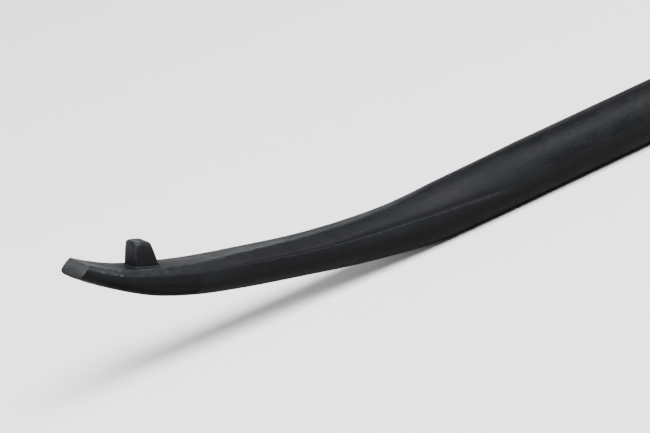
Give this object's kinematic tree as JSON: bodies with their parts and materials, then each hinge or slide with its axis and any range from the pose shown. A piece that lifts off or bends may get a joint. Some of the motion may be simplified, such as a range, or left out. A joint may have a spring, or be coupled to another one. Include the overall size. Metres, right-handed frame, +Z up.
{
  "type": "pry bar",
  "caption": "Long forged steel pry bar of the tyre-lever kind, with a lifted flat-topped toe carrying a stop lug and a thin spade at the far end.",
  "frame": {"origin": "on the ground under the middle of the bar, halfway between the toe and the spade's nose", "axes": "+Z up, the side that carries the lug; +X along the bar from the lugged toe to the spade; +Y across the bar"},
  "size_m": [0.94, 0.032, 0.0441],
  "materials": {
    "bar_black_steel": "satin black over forged steel",
    "lug_black_steel": "satin black over forged steel",
    "weld_black_steel": "satin black over weld"
  },
  "bodies": {
    "root": {"bar": "bar_black_steel", "stop_lug": "lug_black_steel", "lug_weld": "weld_black_steel"}
  },
  "joints": []
}
